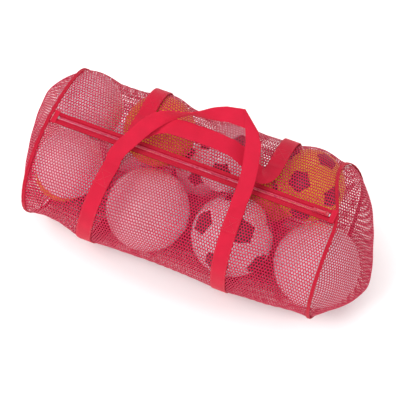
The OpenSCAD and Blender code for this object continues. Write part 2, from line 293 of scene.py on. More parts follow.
def strap_point(side, angle, off):
    angle = np.atleast_1d(angle)
    radius = strap_radius(side, angle) + off
    return np.stack([strap_x(side, angle), -radius * np.cos(angle),
                     np.maximum(AXIS_Z + radius * np.sin(angle), NET_FLOOR - off)], axis=-1)


def seam_x(side, angle=None):
    """Where an end seam lies. The right one is drawn in at its upper rear, with no ball behind it"""
    if angle is None or side < 0:
        return BAG_MID + side * HALF_LENGTH
    apart = np.abs((angle - CORNER_ANGLE + math.pi) % (2 * math.pi) - math.pi) / CORNER_REACH
    return BAG_MID + HALF_LENGTH - CORNER_PULL * np.cos(math.pi / 2 * np.minimum(apart, 1)) ** 2


def rim_share(side, y, z, peak):
    """How far a place is from a peak towards the seam: 0 at the peak, 1 on the seam"""
    dy, dz = y - peak[0], z - peak[1]
    low, high = np.zeros_like(y), np.full_like(y, 40.0)
    for _ in range(26):
        middle = (low + high) / 2
        my, mz = peak[0] + dy * middle, peak[1] + dz * middle - AXIS_Z
        turn = np.arctan2(mz, -my)
        outside = np.hypot(my, mz) > section_radius(turn) - slack(seam_x(side), turn)
        low, high = np.where(outside, low, middle), np.where(outside, middle, high)
    return 1 / np.maximum(low, 1e-6)


# The highest places of each end panel, where the balls push it out: y, z and how far it stands out
END_PEAKS = {-1: [((-33 * MM, 77 * MM), 50 * MM), ((88 * MM, 212 * MM), 70 * MM)],
             1: [((-44 * MM, 111 * MM), 94 * MM), ((95 * MM, 190 * MM), 44 * MM)]}


def dome_height(side, y, z):
    """How far an end panel stands out: cloth stretched like a tent over the balls that push on it"""
    total = 0
    for peak, height in END_PEAKS[side]:
        total = total + (height * (1 - np.minimum(rim_share(side, y, z, peak), 1) ** 1.7)) ** 5
    for centre, radius in zip(CENTRES, RADII):
        left = (radius + 4 * MM) ** 2 - (y - centre[1]) ** 2 - (z - centre[2]) ** 2
        bulge = side * (centre[0] - BAG_MID) + np.sqrt(np.maximum(left, 0)) - HALF_LENGTH
        total = total + np.where(left > 0, np.maximum(0, bulge), 0) ** 5
    return total ** (1 / 5)


def end_point(side, y, z):
    """A point of an end panel over a place in the plane of its seam"""
    angle = np.arctan2(z - AXIS_Z, -y)
    rim = net_point(np.full_like(y, seam_x(side)), angle, 0, slack(seam_x(side), angle))
    span = np.hypot(rim[..., 1], rim[..., 2] - AXIS_Z)
    q = np.hypot(y, z - AXIS_Z) / span
    drawn = (seam_x(side, angle) - seam_x(side)) * np.minimum(q, 1) ** 3
    crease = 0.8 * MM * np.sin(y / 0.011 + z / 0.019) * np.clip(1 - q, 0, 1) * np.clip(q, 0, 1) * 2
    return np.stack([seam_x(side) + drawn + side * (0.3 * MM + dome_height(side, y, z) + crease), y, z],
                    axis=-1), q


# ---------- Mesh helpers ----------

def mesh_object(name, points, faces, uv=None):
    mesh = bpy.data.meshes.new(name)
    mesh.from_pydata(np.asarray(points).tolist(), [], faces if isinstance(faces, list) else faces.tolist())
    mesh.update()
    if uv is not None:
        layer = mesh.uv_layers.new(name="Cloth")
        loops = np.empty(len(mesh.loops), dtype=np.int32)
        mesh.loops.foreach_get("vertex_index", loops)
        layer.data.foreach_set("uv", np.asarray(uv, dtype=np.float32)[loops].ravel())
    thing = bpy.data.objects.new(name, mesh)
    bpy.context.scene.collection.objects.link(thing)
    return thing


def only(thing):
    bpy.ops.object.select_all(action="DESELECT")
    thing.select_set(True)
    bpy.context.view_layer.objects.active = thing
    return thing


def apply_modifier(thing, kind, **values):
    only(thing)
    modifier = thing.modifiers.new(kind.title(), kind)
    for key, value in values.items():
        setattr(modifier, key, value)
    bpy.ops.object.modifier_apply(modifier=modifier.name)


def shade(thing, degrees=None):
    only(thing)
    if degrees is None:
        bpy.ops.object.shade_smooth()
    else:
        bpy.ops.object.shade_smooth_by_angle(angle=math.radians(degrees))


def settle(thing):
    """Puts the object's place, turn and size into its mesh"""
    only(thing)
    bpy.ops.object.transform_apply(location=True, rotation=True, scale=True)
    return thing


def edit_all(thing):
    """Opens a piece for editing, with all of it selected"""
    only(thing)
    bpy.ops.object.mode_set(mode="EDIT")
    bpy.ops.mesh.select_all(action="SELECT")


def outward(thing):
    edit_all(thing)
    bpy.ops.mesh.normals_make_consistent(inside=False)
    bpy.ops.object.mode_set(mode="OBJECT")


def hand_over(thing, body, materials, nodes=()):
    """Gives a piece its materials and body, and hides the frame nodes it stands for.
    A piece that bends between two bodies has no body of its own"""
    if materials:
        thing.data.materials.clear()
        for material in materials:
            thing.data.materials.append(material)
    if body:
        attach(thing, body)
    if nodes:
        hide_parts(*nodes)
    return thing


def coordinates(mesh):
    points = np.empty(len(mesh.vertices) * 3)
    mesh.vertices.foreach_get("co", points)
    return points.reshape(-1, 3)


def copies(name, source, places):
    """One mesh of many copies of a small one, each at a 4 x 4 place. The small one is removed"""
    count = len(source.data.vertices)
    points = np.c_[coordinates(source.data), np.ones(count)]
    faces = [list(face.vertices) for face in source.data.polygons]
    places = np.asarray(places)
    spread = np.einsum("kij,nj->kni", places, points)[:, :, :3].reshape(-1, 3)
    every = [[k * count + v for v in face] for k in range(len(places)) for face in faces]
    bpy.data.objects.remove(source)
    return mesh_object(name, spread, every)


def frame_at(place, along, up, scale=(1, 1, 1)):
    """A 4 x 4 place whose first axis runs along and third axis points up"""
    x = along / np.linalg.norm(along)
    y = np.cross(up, x)
    y = y / np.linalg.norm(y)
    z = np.cross(x, y)
    matrix = np.eye(4)
    for column, values in enumerate((x * scale[0], y * scale[1], z * scale[2], place)):
        matrix[:3, column] = values
    return matrix


def unit(v):
    return v / np.maximum(np.linalg.norm(v, axis=-1, keepdims=True), 1e-12)


def square_to(directions, along):
    """Directions with the part that runs along a line taken out"""
    return unit(directions - along * (directions * along).sum(axis=1, keepdims=True))


def line_length(points):
    return float(np.linalg.norm(np.diff(points, axis=0), axis=1).sum())


def run_lengths(points):
    """Length of a line from its first point to each of its points"""
    return np.concatenate([[0], np.cumsum(np.linalg.norm(np.diff(points, axis=0), axis=1))])


def between(marks, along, values):
    """Rows of values at marks along a line"""
    return np.stack([np.interp(marks, along, values[:, k]) for k in range(3)], axis=-1)


def spline(points, steps):
    """A smooth line through points with any number of columns, with that many steps to each gap"""
    points = np.asarray(points, dtype=float)
    padded = np.vstack([2 * points[0] - points[1], points, 2 * points[-1] - points[-2]])
    t = np.linspace(0, 1, steps, endpoint=False)[:, None]
    out = []
    for a, b, c, d in zip(padded[:-3], padded[1:-2], padded[2:-1], padded[3:]):
        out.append(0.5 * (2 * b + (c - a) * t + (2 * a - 5 * b + 4 * c - d) * t ** 2
                          + (3 * b - a - 3 * c + d) * t ** 3))
    return np.vstack([*out, points[-1:]])


WEB_PROFILE = [(-1.0, -0.25), (-0.985, -0.75), (-0.94, -1.0), (-0.62, -0.94), (-0.30, -1.0), (0.0, -0.95),
               (0.30, -1.0), (0.62, -0.94), (0.94, -1.0), (0.985, -0.75), (1.0, -0.25)]
WEB_PROFILE = WEB_PROFILE + [(u, -w) for u, w in reversed(WEB_PROFILE)]

# A tape folded in half along its length: the fold is at +1, and both cut edges are at -1
FOLD_PROFILE = [(-1.0, -1.0), (0.82, -1.0), (0.96, -0.75), (1.0, 0.0), (0.96, 0.75), (0.82, 1.0),
                (-0.1, 0.92), (-1.0, 1.0), (-1.0, 0.14), (0.76, 0.14), (0.8, 0.0), (0.76, -0.14),
                (-1.0, -0.14)]

# A tape bent over a seam, with both cut edges down
COVER_PROFILE = [(-1.0, -1.0), (-1.0, 0.2), (-0.85, 0.75), (-0.45, 1.0), (-0.1, 0.95), (0.0, 0.75),
                 (0.1, 0.95), (0.45, 1.0), (0.85, 0.75), (1.0, 0.2), (1.0, -1.0), (0.82, -1.0),
                 (0.8, 0.0), (0.4, 0.25), (0.0, 0.1), (-0.4, 0.25), (-0.8, 0.0), (-0.82, -1.0)]


def ribbon(centres, halves, normals, thickness, profile=WEB_PROFILE, closed=False):
    """Points, faces and cloth coordinates of a strip: halves reach from the middle to one edge"""
    profile = np.array(profile)
    rows, cols = len(centres), len(profile)
    points = (centres[:, None, :] + halves[:, None, :] * profile[None, :, :1]
              + normals[:, None, :] * profile[None, :, 1:] * thickness / 2)
    along = run_lengths(centres)
    half = np.linalg.norm(halves, axis=1)
    uv = np.stack([profile[None, :, 0] * half[:, None], np.repeat(along[:, None], cols, axis=1)], axis=-1)
    faces = []
    for i in range(rows if closed else rows - 1):
        p, q = i * cols, (i + 1) % rows * cols
        faces += [[p + k, q + k, q + (k + 1) % cols, p + (k + 1) % cols] for k in range(cols)]
    if not closed:
        faces.append(list(range(cols)))
        faces.append([(rows - 1) * cols + k for k in reversed(range(cols))])
    return points.reshape(-1, 3), faces, uv.reshape(-1, 2)


def join_parts(parts):
    """Several sets of points, faces and cloth coordinates as one"""
    points, faces, uv, start = [], [], [], 0
    for p, f, w in parts:
        points.append(p)
        faces += [[start + v for v in face] for face in f]
        uv.append(w)
        start += len(p)
    return np.vstack(points), faces, np.vstack(uv)


def cloth_piece(name, strip, degrees, body, material, node):
    """A strip of cloth as a piece of its own, smooth but for edges sharper than that many degrees"""
    thing = mesh_object(name, *strip)
    outward(thing)
    shade(thing, degrees)
    return hand_over(thing, body, [material], [node])


# ---------- Materials ----------

def group_tree(name, inputs, outputs):
    tree = bpy.data.node_groups.new(name, "ShaderNodeTree")
    for label, kind, value in inputs:
        socket = tree.interface.new_socket(name=label, in_out="INPUT", socket_type=kind)
        if value is not None:
            socket.default_value = value
    for label, kind in outputs:
        tree.interface.new_socket(name=label, in_out="OUTPUT", socket_type=kind)
    return tree, tree.nodes.new("NodeGroupInput"), tree.nodes.new("NodeGroupOutput")


def math_node(tree, operation, first, second=None, third=None):
    node = tree.nodes.new("ShaderNodeMath")
    node.operation = operation
    for socket, value in zip(node.inputs, (first, second, third)):
        if value is None:
            continue
        if isinstance(value, (int, float)):
            socket.default_value = value
        else:
            tree.links.new(value, socket)
    return node.outputs[0]


def woven_group():
    """Over and under of a woven cloth on its own coordinates: a height, and a painted shade from 0 to 1 that
    darkens the gaps between the threads
    """
    name = "Woven cloth"
    if name in bpy.data.node_groups:
        return bpy.data.node_groups[name]
    tree, enter, leave = group_tree(
        name, [("Cloth", "NodeSocketVector", None), ("Across", "NodeSocketFloat", 900.0),
               ("Along", "NodeSocketFloat", 900.0)],
        [("Height", "NodeSocketFloat"), ("Shade", "NodeSocketFloat")])
    split = tree.nodes.new("ShaderNodeSeparateXYZ")
    tree.links.new(enter.outputs["Cloth"], split.inputs[0])
    across = math_node(tree, "MULTIPLY", split.outputs[0], enter.outputs["Across"])
    along = math_node(tree, "MULTIPLY", split.outputs[1], enter.outputs["Along"])
    slant = math_node(tree, "ADD", along, math_node(tree, "MULTIPLY", across, 0.5))
    warp = math_node(tree, "ABSOLUTE", math_node(tree, "SINE", math_node(tree, "MULTIPLY", across, math.pi)))
    weft = math_node(tree, "ABSOLUTE", math_node(tree, "SINE", math_node(tree, "MULTIPLY", slant, math.pi)))
    height = math_node(tree, "MULTIPLY", math_node(tree, "POWER", warp, 0.6),
                       math_node(tree, "POWER", weft, 0.6))
    tree.links.new(height, leave.inputs["Height"])
    # Painted shade: low where the threads dip between each other, full where they stand up
    tree.links.new(math_node(tree, "MINIMUM", math_node(tree, "MULTIPLY_ADD", height, 0.75, 0.35), 1.0),
                   leave.inputs["Shade"])
    return tree


def patina_group():
    """Slow uneven tone over a surface, from 0 to 1"""
    name = "Uneven tone"
    if name in bpy.data.node_groups:
        return bpy.data.node_groups[name]
    tree, enter, leave = group_tree(
        name, [("Place", "NodeSocketVector", None), ("Scale", "NodeSocketFloat", 30.0)],
        [("Tone", "NodeSocketFloat")])
    noise = tree.nodes.new("ShaderNodeTexNoise")
    noise.inputs["Detail"].default_value = 5.0
    tree.links.new(enter.outputs["Place"], noise.inputs["Vector"])
    tree.links.new(enter.outputs["Scale"], noise.inputs["Scale"])
    spread = tree.nodes.new("ShaderNodeMapRange")
    spread.inputs["From Min"].default_value = 0.3
    spread.inputs["From Max"].default_value = 0.7
    tree.links.new(noise.outputs["Fac"], spread.inputs["Value"])
    tree.links.new(spread.outputs["Result"], leave.inputs["Tone"])
    return tree


def group_node(tree, group, **values):
    node = tree.nodes.new("ShaderNodeGroup")
    node.node_tree = group
    for key, value in values.items():
        if isinstance(value, (int, float)):
            node.inputs[key].default_value = value
        else:
            tree.links.new(value, node.inputs[key])
    return node


def shaded(colour, factor):
    return tuple(min(1.0, c * factor) for c in colour[:3]) + (1.0,)


def new_material(name, roughness, colour):
    material = bpy.data.materials.new(name)
    material.use_nodes = True
    tree = material.node_tree
    shader = tree.nodes["Principled BSDF"]
    shader.inputs["Base Color"].default_value = (*colour[:3], 1.0)
    shader.inputs["Roughness"].default_value = roughness
    return material, tree, shader


def mix_colour(tree, factor, low, high):
    node = tree.nodes.new("ShaderNodeMix")
    node.data_type = "RGBA"
    for socket, value in ((node.inputs[6], low), (node.inputs[7], high)):
        if isinstance(value, tuple):
            socket.default_value = value
        else:
            tree.links.new(value, socket)
    tree.links.new(factor, node.inputs[0])
    return node.outputs[2]


def bumped(tree, shader, height, strength, distance):
    bump = tree.nodes.new("ShaderNodeBump")
    bump.inputs["Strength"].default_value = strength
    bump.inputs["Distance"].default_value = distance
    tree.links.new(height, bump.inputs["Height"])
    tree.links.new(bump.outputs[0], shader.inputs["Normal"])


def uneven_tone(tree, scale):
    """The place on the piece, and a slow uneven tone over it"""
    place = tree.nodes.new("ShaderNodeTexCoord").outputs["Object"]
    return place, group_node(tree, patina_group(), Place=place, Scale=scale).outputs[0]


def uneven_roughness(tree, shader, tone, low, high):
    rough = tree.nodes.new("ShaderNodeMapRange")
    rough.inputs["To Min"].default_value = low
    rough.inputs["To Max"].default_value = min(1.0, high)
    tree.links.new(tone, rough.inputs["Value"])
    tree.links.new(rough.outputs["Result"], shader.inputs["Roughness"])


def cloth_material(name, colour, across, along, roughness=0.72, sheen=0.04, dark=0.62):
    """Woven cloth: threads with painted shade in the gaps between them, and slow fading"""
    if name in bpy.data.materials:
        return bpy.data.materials[name]
    material, tree, shader = new_material(name, roughness, colour)
    shader.inputs["Sheen Weight"].default_value = sheen
    shader.inputs["Sheen Roughness"].default_value = 0.4
    shader.inputs["Specular IOR Level"].default_value = 0.18
    cloth = tree.nodes.new("ShaderNodeUVMap")
    cloth.uv_map = "Cloth"
    weave = group_node(tree, woven_group(), Cloth=cloth.outputs[0], Across=across, Along=along)
    tone = uneven_tone(tree, 24.0)[1]
    fresh = mix_colour(tree, tone, shaded(colour, 0.90), shaded(colour, 1.06))
    # Painted shade in the gaps between the threads: there the colour is dimmed to the share dark of itself
    tree.links.new(mix_colour(tree, weave.outputs["Shade"], shaded(colour, dark), fresh),
                   shader.inputs["Base Color"])
    bumped(tree, shader, weave.outputs["Height"], 0.6, 0.35 * MM)
    return material


def net_material():
    """Knitted yarn, with fine fibres and slow fading"""
    name = "Knitted net"
    if name in bpy.data.materials:
        return bpy.data.materials[name]
    colour = settings().net_colour
    material, tree, shader = new_material(name, 0.55, colour)
    shader.inputs["Sheen Weight"].default_value = 0.05
    shader.inputs["Sheen Roughness"].default_value = 0.35
    shader.inputs["Specular IOR Level"].default_value = 0.22
    place, tone = uneven_tone(tree, 18.0)
    fibre = tree.nodes.new("ShaderNodeTexNoise")
    fibre.inputs["Scale"].default_value = 1600.0
    fibre.inputs["Detail"].default_value = 2.0
    tree.links.new(place, fibre.inputs["Vector"])
    slow = mix_colour(tree, tone, shaded(colour, 0.90), shaded(colour, 1.08))
    tree.links.new(mix_colour(tree, fibre.outputs["Fac"], shaded(colour, 0.72), slow),
                   shader.inputs["Base Color"])
    bumped(tree, shader, fibre.outputs["Fac"], 0.5, 0.25 * MM)
    return material


def thread_material():
    """Twisted sewing thread in the binding's colour"""
    name, colour = "Sewing thread", settings().binding_colour
    if name in bpy.data.materials:
        return bpy.data.materials[name]
    material, tree, shader = new_material(name, 0.5, colour)
    shader.inputs["Sheen Weight"].default_value = 0.2
    place = tree.nodes.new("ShaderNodeTexCoord")
    twist = tree.nodes.new("ShaderNodeTexWave")
    twist.inputs["Scale"].default_value = 900.0
    twist.inputs["Distortion"].default_value = 1.5
    tree.links.new(place.outputs["Object"], twist.inputs["Vector"])
    tree.links.new(mix_colour(tree, twist.outputs["Fac"], shaded(colour, 0.75), shaded(colour, 1.1)),
                   shader.inputs["Base Color"])
    bumped(tree, shader, twist.outputs["Fac"], 0.4, 0.15 * MM)
    return material


def plastic_material(name, colour, roughness, metallic=0.0, coat=0.0):
    """Moulded or painted hard trim with faint handling marks"""
    if name in bpy.data.materials:
        return bpy.data.materials[name]
    material, tree, shader = new_material(name, roughness, colour)
    shader.inputs["Metallic"].default_value = metallic
    shader.inputs["Coat Weight"].default_value = coat
    tone = uneven_tone(tree, 140.0)[1]
    tree.links.new(mix_colour(tree, tone, shaded(colour, 0.86), shaded(colour, 1.1)),
                   shader.inputs["Base Color"])
    uneven_roughness(tree, shader, tone, roughness * 0.8, roughness * 1.3)
    return material


def ball_material(name, colour, pebble, roughness, coat):
    """Rubber or coated ball skin: small pebbles, and slow scuffing"""
    if name in bpy.data.materials:
        return bpy.data.materials[name]
    material, tree, shader = new_material(name, roughness, colour)
    shader.inputs["Coat Weight"].default_value = coat
    shader.inputs["Coat Roughness"].default_value = 0.25
    place, tone = uneven_tone(tree, 22.0)
    tree.links.new(mix_colour(tree, tone, shaded(colour, 0.92), shaded(colour, 1.02)),
                   shader.inputs["Base Color"])
    cells = tree.nodes.new("ShaderNodeTexVoronoi")
    cells.inputs["Scale"].default_value = 1 / pebble
    tree.links.new(place, cells.inputs["Vector"])
    bumped(tree, shader, math_node(tree, "SUBTRACT", 1.0, cells.outputs["Distance"]), 0.35, 0.2 * MM)
    uneven_roughness(tree, shader, tone, roughness * 0.85, roughness * 1.25)
    return material


def webbing_material():
    return cloth_material("Woven webbing", settings().webbing_colour, 700.0, 480.0, 0.68, 0.05, 0.7)


def binding_material():
    return cloth_material("Binding tape", settings().binding_colour, 1100.0, 1100.0, 0.72, 0.05, 0.62)


# ---------- Net ----------

def hex_cells(low_u, high_u, low_v, high_v, pitch):
    """Middles of staggered hexagonal cells over a rectangle"""
    rise = pitch * math.sqrt(3) / 2
    rows = int((high_v - low_v) / rise)
    cols = int((high_u - low_u) / pitch)
    u, v = np.meshgrid(np.arange(cols), np.arange(rows))
    middles = np.stack([low_u + (u + 0.5 + 0.5 * (v % 2)) * pitch, low_v + (v + 0.5) * rise], axis=-1)
    return middles.reshape(-1, 2)


def net_mesh(middles, pitch, thread):
    """Flat points and faces of a net of hexagonal holes, with corners shared between cells"""
    turn = np.radians(30 + 60 * np.arange(6))
    spoke = np.stack([np.cos(turn), np.sin(turn)], axis=-1) * pitch / math.sqrt(3)
    outer = (middles[:, None, :] + spoke).reshape(-1, 2)
    keys = np.round(outer / (pitch / 50)).astype(np.int64)
    _, first, index = np.unique(keys, axis=0, return_index=True, return_inverse=True)
    index = index.reshape(-1, 6)
    corners = outer[first]
    inner = (middles[:, None, :] + spoke * (1 - thread / pitch)).reshape(-1, 2)
    inner_index = len(corners) + np.arange(len(inner)).reshape(-1, 6)
    nxt = np.roll(np.arange(6), -1)
    faces = np.stack([index, index[:, nxt], inner_index[:, nxt], inner_index], axis=-1).reshape(-1, 4)
    return np.vstack([corners, inner]), faces


# How much longer the cells are where the balls' weight draws the net down, below the top
FRONT_STRETCH = 1.4


def wrap_table():
    """The girth of the net, its cells' places from the front zipper edge, and the angles they belong to"""
    angles = np.linspace(SLIT_FRONT, SLIT_REAR, 1600)
    radius = section_radius(angles)
    ring = np.stack([-radius * np.cos(angles),
                     np.maximum(AXIS_Z + radius * np.sin(angles), NET_FLOOR)], axis=-1)
    gaps = np.linalg.norm(np.diff(ring, axis=0), axis=1)
    lengths = np.concatenate([[0], np.cumsum(gaps)])
    drawn = 1 + (FRONT_STRETCH - 1) * smooth(math.radians(62), math.radians(18), angles[1:])
    relaxed = np.concatenate([[0], np.cumsum(gaps / drawn)])
    return lengths[-1], relaxed, angles


def solid_net(name, points, faces):
    thing = mesh_object(name, points, faces)
    apply_modifier(thing, "SOLIDIFY", thickness=settings().net_thickness, offset=0.0,
                   use_even_offset=False, use_quality_normals=False)
    shade(thing)
    return thing


class BALLBAG_OT_long_net(bpy.types.Operator):
    """Knit the long net that wraps round the bag from one edge of the zipper to the other"""

    bl_idname = "ballbag.long_net"
    bl_label = "Long net"

    def execute(self, context):
        values = settings()
        pitch, thread = values.net_pitch, values.net_thread
        girth, places, angles = wrap_table()
        middles = hex_cells(seam_x(-1) + MM, seam_x(1) - MM, 0, places[-1], pitch)
        middles[:, 1] += (places[-1] - middles[:, 1].max() - middles[:, 1].min()) / 2
        cuts = np.linspace(seam_x(-1), seam_x(1), values.net_panels + 1)
        for n, (low, high) in enumerate(zip(cuts[:-1], cuts[1:]), start=1):
            flat, faces = net_mesh(middles[(middles[:, 0] >= low) & (middles[:, 0] < high)], pitch, thread)
            angle = np.interp(flat[:, 1], places, angles)
            thing = solid_net(f"net_long_{n}", sagged_point(flat[:, 0], angle), faces)
            hand_over(thing, "bag", [net_material()], ["body_net"])
        return {"FINISHED"}


class BALLBAG_OT_end_nets(bpy.types.Operator):
    """Knit the two end panels, with the balls behind them pressing through"""

    bl_idname = "ballbag.end_nets"
    bl_label = "End nets"

    def execute(self, context):
        values = settings()
        pitch, thread = values.net_pitch, values.net_thread
        for side, name in ((-1, "end_net_left"), (1, "end_net_right")):
            middles = hex_cells(-HALF_WIDTH, HALF_WIDTH, NET_FLOOR, NET_HIGH[2], pitch)
            middles[:, 0] -= (middles[:, 0].max() + middles[:, 0].min()) / 2
            q = end_point(side, middles[:, 0], middles[:, 1])[1]
            flat, faces = net_mesh(middles[q < 0.985], pitch, thread)
            points = end_point(side, flat[:, 0], flat[:, 1])[0]
            if side < 0:
                faces = faces[:, ::-1]
            thing = solid_net(name.replace("end_net", "net_end"), points, faces)
            hand_over(thing, "bag", [net_material()], [name])
        return {"FINISHED"}


# ---------- Bindings, straps and stitching ----------

def stitch_source():
    """One stitch: a short plump thread with pointed ends, a millimetre long, to be stretched"""
    bpy.ops.object.select_all(action="DESELECT")
    bpy.ops.mesh.primitive_uv_sphere_add(segments=6, ring_count=4, radius=0.5 * MM,
                                         rotation=(0, math.pi / 2, 0))
    return settle(bpy.context.object)


# Share of the stitch pitch that shows as thread, before it dips into the cloth
STITCH_SHARE = 0.78


def stitches(name, lines, thickness=0.9 * MM, nodes=()):
    """Rows of stitches along lines, each a pair of arrays: points and the way up at each point"""
    pitch = settings().stitch_pitch
    places = []
    for points, ups in lines:
        along = run_lengths(points)
        count = max(1, int(round(along[-1] / pitch)))
        marks = np.linspace(0, along[-1], count + 1)
        at, up = between(marks, along, points), between(marks, along, ups)
        for a, b, n in zip(at[:-1], at[1:], up[:-1]):
            length = np.linalg.norm(b - a) * STITCH_SHARE
            places.append(frame_at((a + b) / 2, b - a, n,
                                   (length / MM, thickness / MM, 0.7 * thickness / MM)))
    thing = copies(name, stitch_source(), places)
    shade(thing)
    return hand_over(thing, "bag", [thread_material()], nodes)


def strap_line(side, steps=300):
    """Middle line of a strap just above the net, its edge vectors and its way up"""
    angle = np.linspace(ROOT_FRONT, ROOT_REAR, steps)
    radius = strap_radius(side, angle)
    kernel = np.hanning(17)
    calm = np.convolve(np.pad(radius, 8, mode="edge"), kernel / kernel.sum(), mode="valid")
    radius = np.maximum(calm, radius - 0.3 * MM) + STRAP_OFF + WEB_THICK / 2
    z = AXIS_Z + radius * np.sin(angle)
    centre = np.stack([strap_x(side, angle), -radius * np.cos(angle), np.maximum(z, WEB_THICK / 2)], axis=-1)
    along = unit(np.gradient(centre, axis=0))
    across = square_to(np.tile([1.0, 0, 0], (steps, 1)), along)
    up = unit(np.cross(along, across))
    outwards = centre - np.array([0, 0, AXIS_Z])
    outwards[:, 0] = 0
    sign = np.sign((up * outwards).sum(axis=1, keepdims=True))
    return centre, across, up * sign


class BALLBAG_OT_straps(bpy.types.Operator):
    """Lay the two girth straps round the bag, with a row of stitches along each edge"""

    bl_idname = "ballbag.straps"
    bl_label = "Girth straps"

    def execute(self, context):
        for side, word in ((-1, "left"), (1, "right")):
            centre, across, up = strap_line(side)
            strip = ribbon(centre, across * WEB_WIDTH / 2, up, WEB_THICK)
            thing = cloth_piece(f"strap_{word}", strip, 50, "bag", webbing_material(),
                                f"girth_strap_{word}")
            edge = WEB_WIDTH / 2 - 3 * MM
            rows = [(centre + across * edge * s + up * WEB_THICK / 2, up) for s in (-1, 1)]
            stitches(f"strap_stitches_{word}", rows)
        return {"FINISHED"}


class BALLBAG_OT_bindings(bpy.types.Operator):
    """Fold the binding tape over the seam of each end panel"""

    bl_idname = "ballbag.bindings"
    bl_label = "Seam bindings"

    def execute(self, context):
        steps = 240
        half, turned_in = 4.6 * MM, 3.5 * MM
        for side, word in ((-1, "left"), (1, "right")):
            angle = np.linspace(0, 2 * math.pi, steps, endpoint=False)
            wrapped = (angle + math.pi) % (2 * math.pi) - math.pi
            radius = net_radius(seam_x(side), wrapped, slack(seam_x(side), wrapped)) + STRAP_OFF + 0.6 * MM
            ripple = 0.35 * MM * np.sin(61 * angle) * (np.sin(angle) > -0.8)
            centre = np.stack([np.full(steps, seam_x(side, angle)), -(radius + ripple) * np.cos(angle),
                               np.maximum(AXIS_Z + (radius + ripple) * np.sin(angle), 1.3 * MM)], axis=-1)
            along = unit(np.roll(centre, -1, axis=0) - np.roll(centre, 1, axis=0))
            across = np.tile([half, 0, 0], (steps, 1))
            up = unit(np.cross(along, across))
            up *= np.sign((up * (centre - [0, 0, AXIS_Z]))[:, 1:].sum(axis=1, keepdims=True))
            strip = ribbon(centre, across, up, 2.4 * MM, COVER_PROFILE, closed=True)
            thing = cloth_piece(f"binding_{word}", strip, 60, "bag", binding_material(),
                                f"end_binding_{word}")
            rows = [(centre + across * 0.5 * s + up * 1.25 * MM, up) for s in (-1, 1)]
            stitches(f"binding_stitches_{word}", rows, 0.7 * MM)
        return {"FINISHED"}


# ---------- Handles ----------

# Distance along the bag, height above the hinge line, and turn of the webbing in degrees
FRONT_ROUTE = [(-188, 0, 0), (-187, 14, 0), (-175, 42, 0), (-154, 76, 0), (-130, 113, -6), (-102, 143, -24),
               (-70, 163, -50), (-40, 175, -66), (-8, 185, -48), (22, 197, -20), (48, 206, -4)]
FRONT_FOLD = ((82, 231), (129, 186))
FRONT_LEG = [(123, 160, 0), (130, 109, 0), (132, 54, 0), (128, 14, 0), (128, 0, 0)]

# Middle of the rear handle: it leaves its straps low over the bag, then rises and turns to face the front
REAR_ROUTE = [(-170, 55.8, 321.8), (-170, 38, 325), (-169, 19, 330), (-162, 3, 340), (-146, -3, 360),
              (-122, 3, 384), (-93, 8, 403), (-60, 7, 414), (-20, 6, 419), (20, 6, 419), (55, 8, 413),
              (86, 9, 400), (113, 7, 380), (135, 2, 358), (153, 4, 340), (164, 19, 330), (168, 38, 325),
              (168, 55.8, 321.8)]
REAR_FACE = (0.2, -0.47, 0.86)

# Degrees that each handle leans to the rear where it leaves its straps. The rear one leans to the front
FRONT_LEAN, REAR_LEAN = math.degrees(math.atan2(1, 1.2799)), -27

# How far each layer of the front handle's fold lies off the handle's plane
FOLD_LIFT = 1.4 * MM


def plane_frame(hinge, lean):
    """Origin, way up the handle and face direction of a handle that leans to the rear by that angle"""
    lean = math.radians(lean)
    return (np.array([0, hinge[1], hinge[2]]), np.array([0, math.sin(lean), math.cos(lean)]),
            np.array([0, math.cos(lean), -math.sin(lean)]))


def route_stations(route, hinge, lean):
    """Middle line, edge vectors and face directions of webbing along a route in a handle's plane"""
    origin, up, face = plane_frame(hinge, lean)
    line = spline(route, 8)
    heading = unit(np.gradient(line[:, :2], axis=0))
    turn = np.radians(line[:, 2])[:, None]
    x = np.array([1.0, 0, 0])
    centre = origin + line[:, :1] * MM * x + line[:, 1:2] * MM * up
    left = -heading[:, 1:] * x + heading[:, :1] * up
    across = left * np.cos(turn) + face * np.sin(turn)
    normal = unit(np.cross(heading[:, :1] * x + heading[:, 1:] * up, across))
    return centre, across * WEB_WIDTH / 2, normal


def free_stations(route, face):
    """Webbing along points in space: flat over the bag at both ends, and facing one way in between"""
    centre = spline(route, 7) * MM
    heading = unit(np.gradient(centre, axis=0))
    along = run_lengths(centre)
    from_end = np.minimum(along, along[-1] - along)[:, None]
    share = smooth(24 * MM, 95 * MM, from_end)
    normal = np.array([0, 0.12, 1.0]) * (1 - share) + np.array(face) * share
    normal = square_to(normal, heading)
    return centre, np.cross(normal, heading) * WEB_WIDTH / 2, normal


def root_stations(side, rear, x_mm):
    """The end of a handle, lying on its strap below the hinge, from its cut end up to the hinge"""
    count, reach = 9, 2.5
    start = ROOT_REAR if rear else ROOT_FRONT
    sign = 1 if rear else -1
    angle = start + sign * WRAP_STEP * np.linspace(reach, 0.0, count)
    centre = strap_point(side, angle, STRAP_TOP + WEB_THICK / 2 + 0.5 * MM)
    centre[:, 0] += x_mm * MM - centre[-1, 0]
    along = unit(np.gradient(centre, axis=0))
    across = square_to(np.tile([-1.0, 0, 0], (count, 1)), along)
    return centre, across * WEB_WIDTH / 2, unit(np.cross(along, across))


def stack(*parts):
    return tuple(np.vstack([part[k] for part in parts]) for k in range(3))


def backwards(stations):
    return tuple(part[::-1] for part in stations)


def turned(stations):
    """The same stations travelled the other way"""
    centre, half, normal = backwards(stations)
    return centre, -half, normal


def matched(stations, row, other, other_row):
    """Stations whose edge and face directions point the way of another strip's where they meet"""
    centre, half, normal = stations
    half_sign = -1 if (half[row] * other[1][other_row]).sum() < 0 else 1
    normal_sign = -1 if (normal[row] * other[2][other_row]).sum() < 0 else 1
    return centre, half * half_sign, normal * normal_sign


def fold_line(fold, hinge, lean):
    """Both ends of the line that the webbing is folded along"""
    origin, up = plane_frame(hinge, lean)[:2]
    return [origin + np.array([1.0, 0, 0]) * x * MM + up * rise * MM for x, rise in fold]


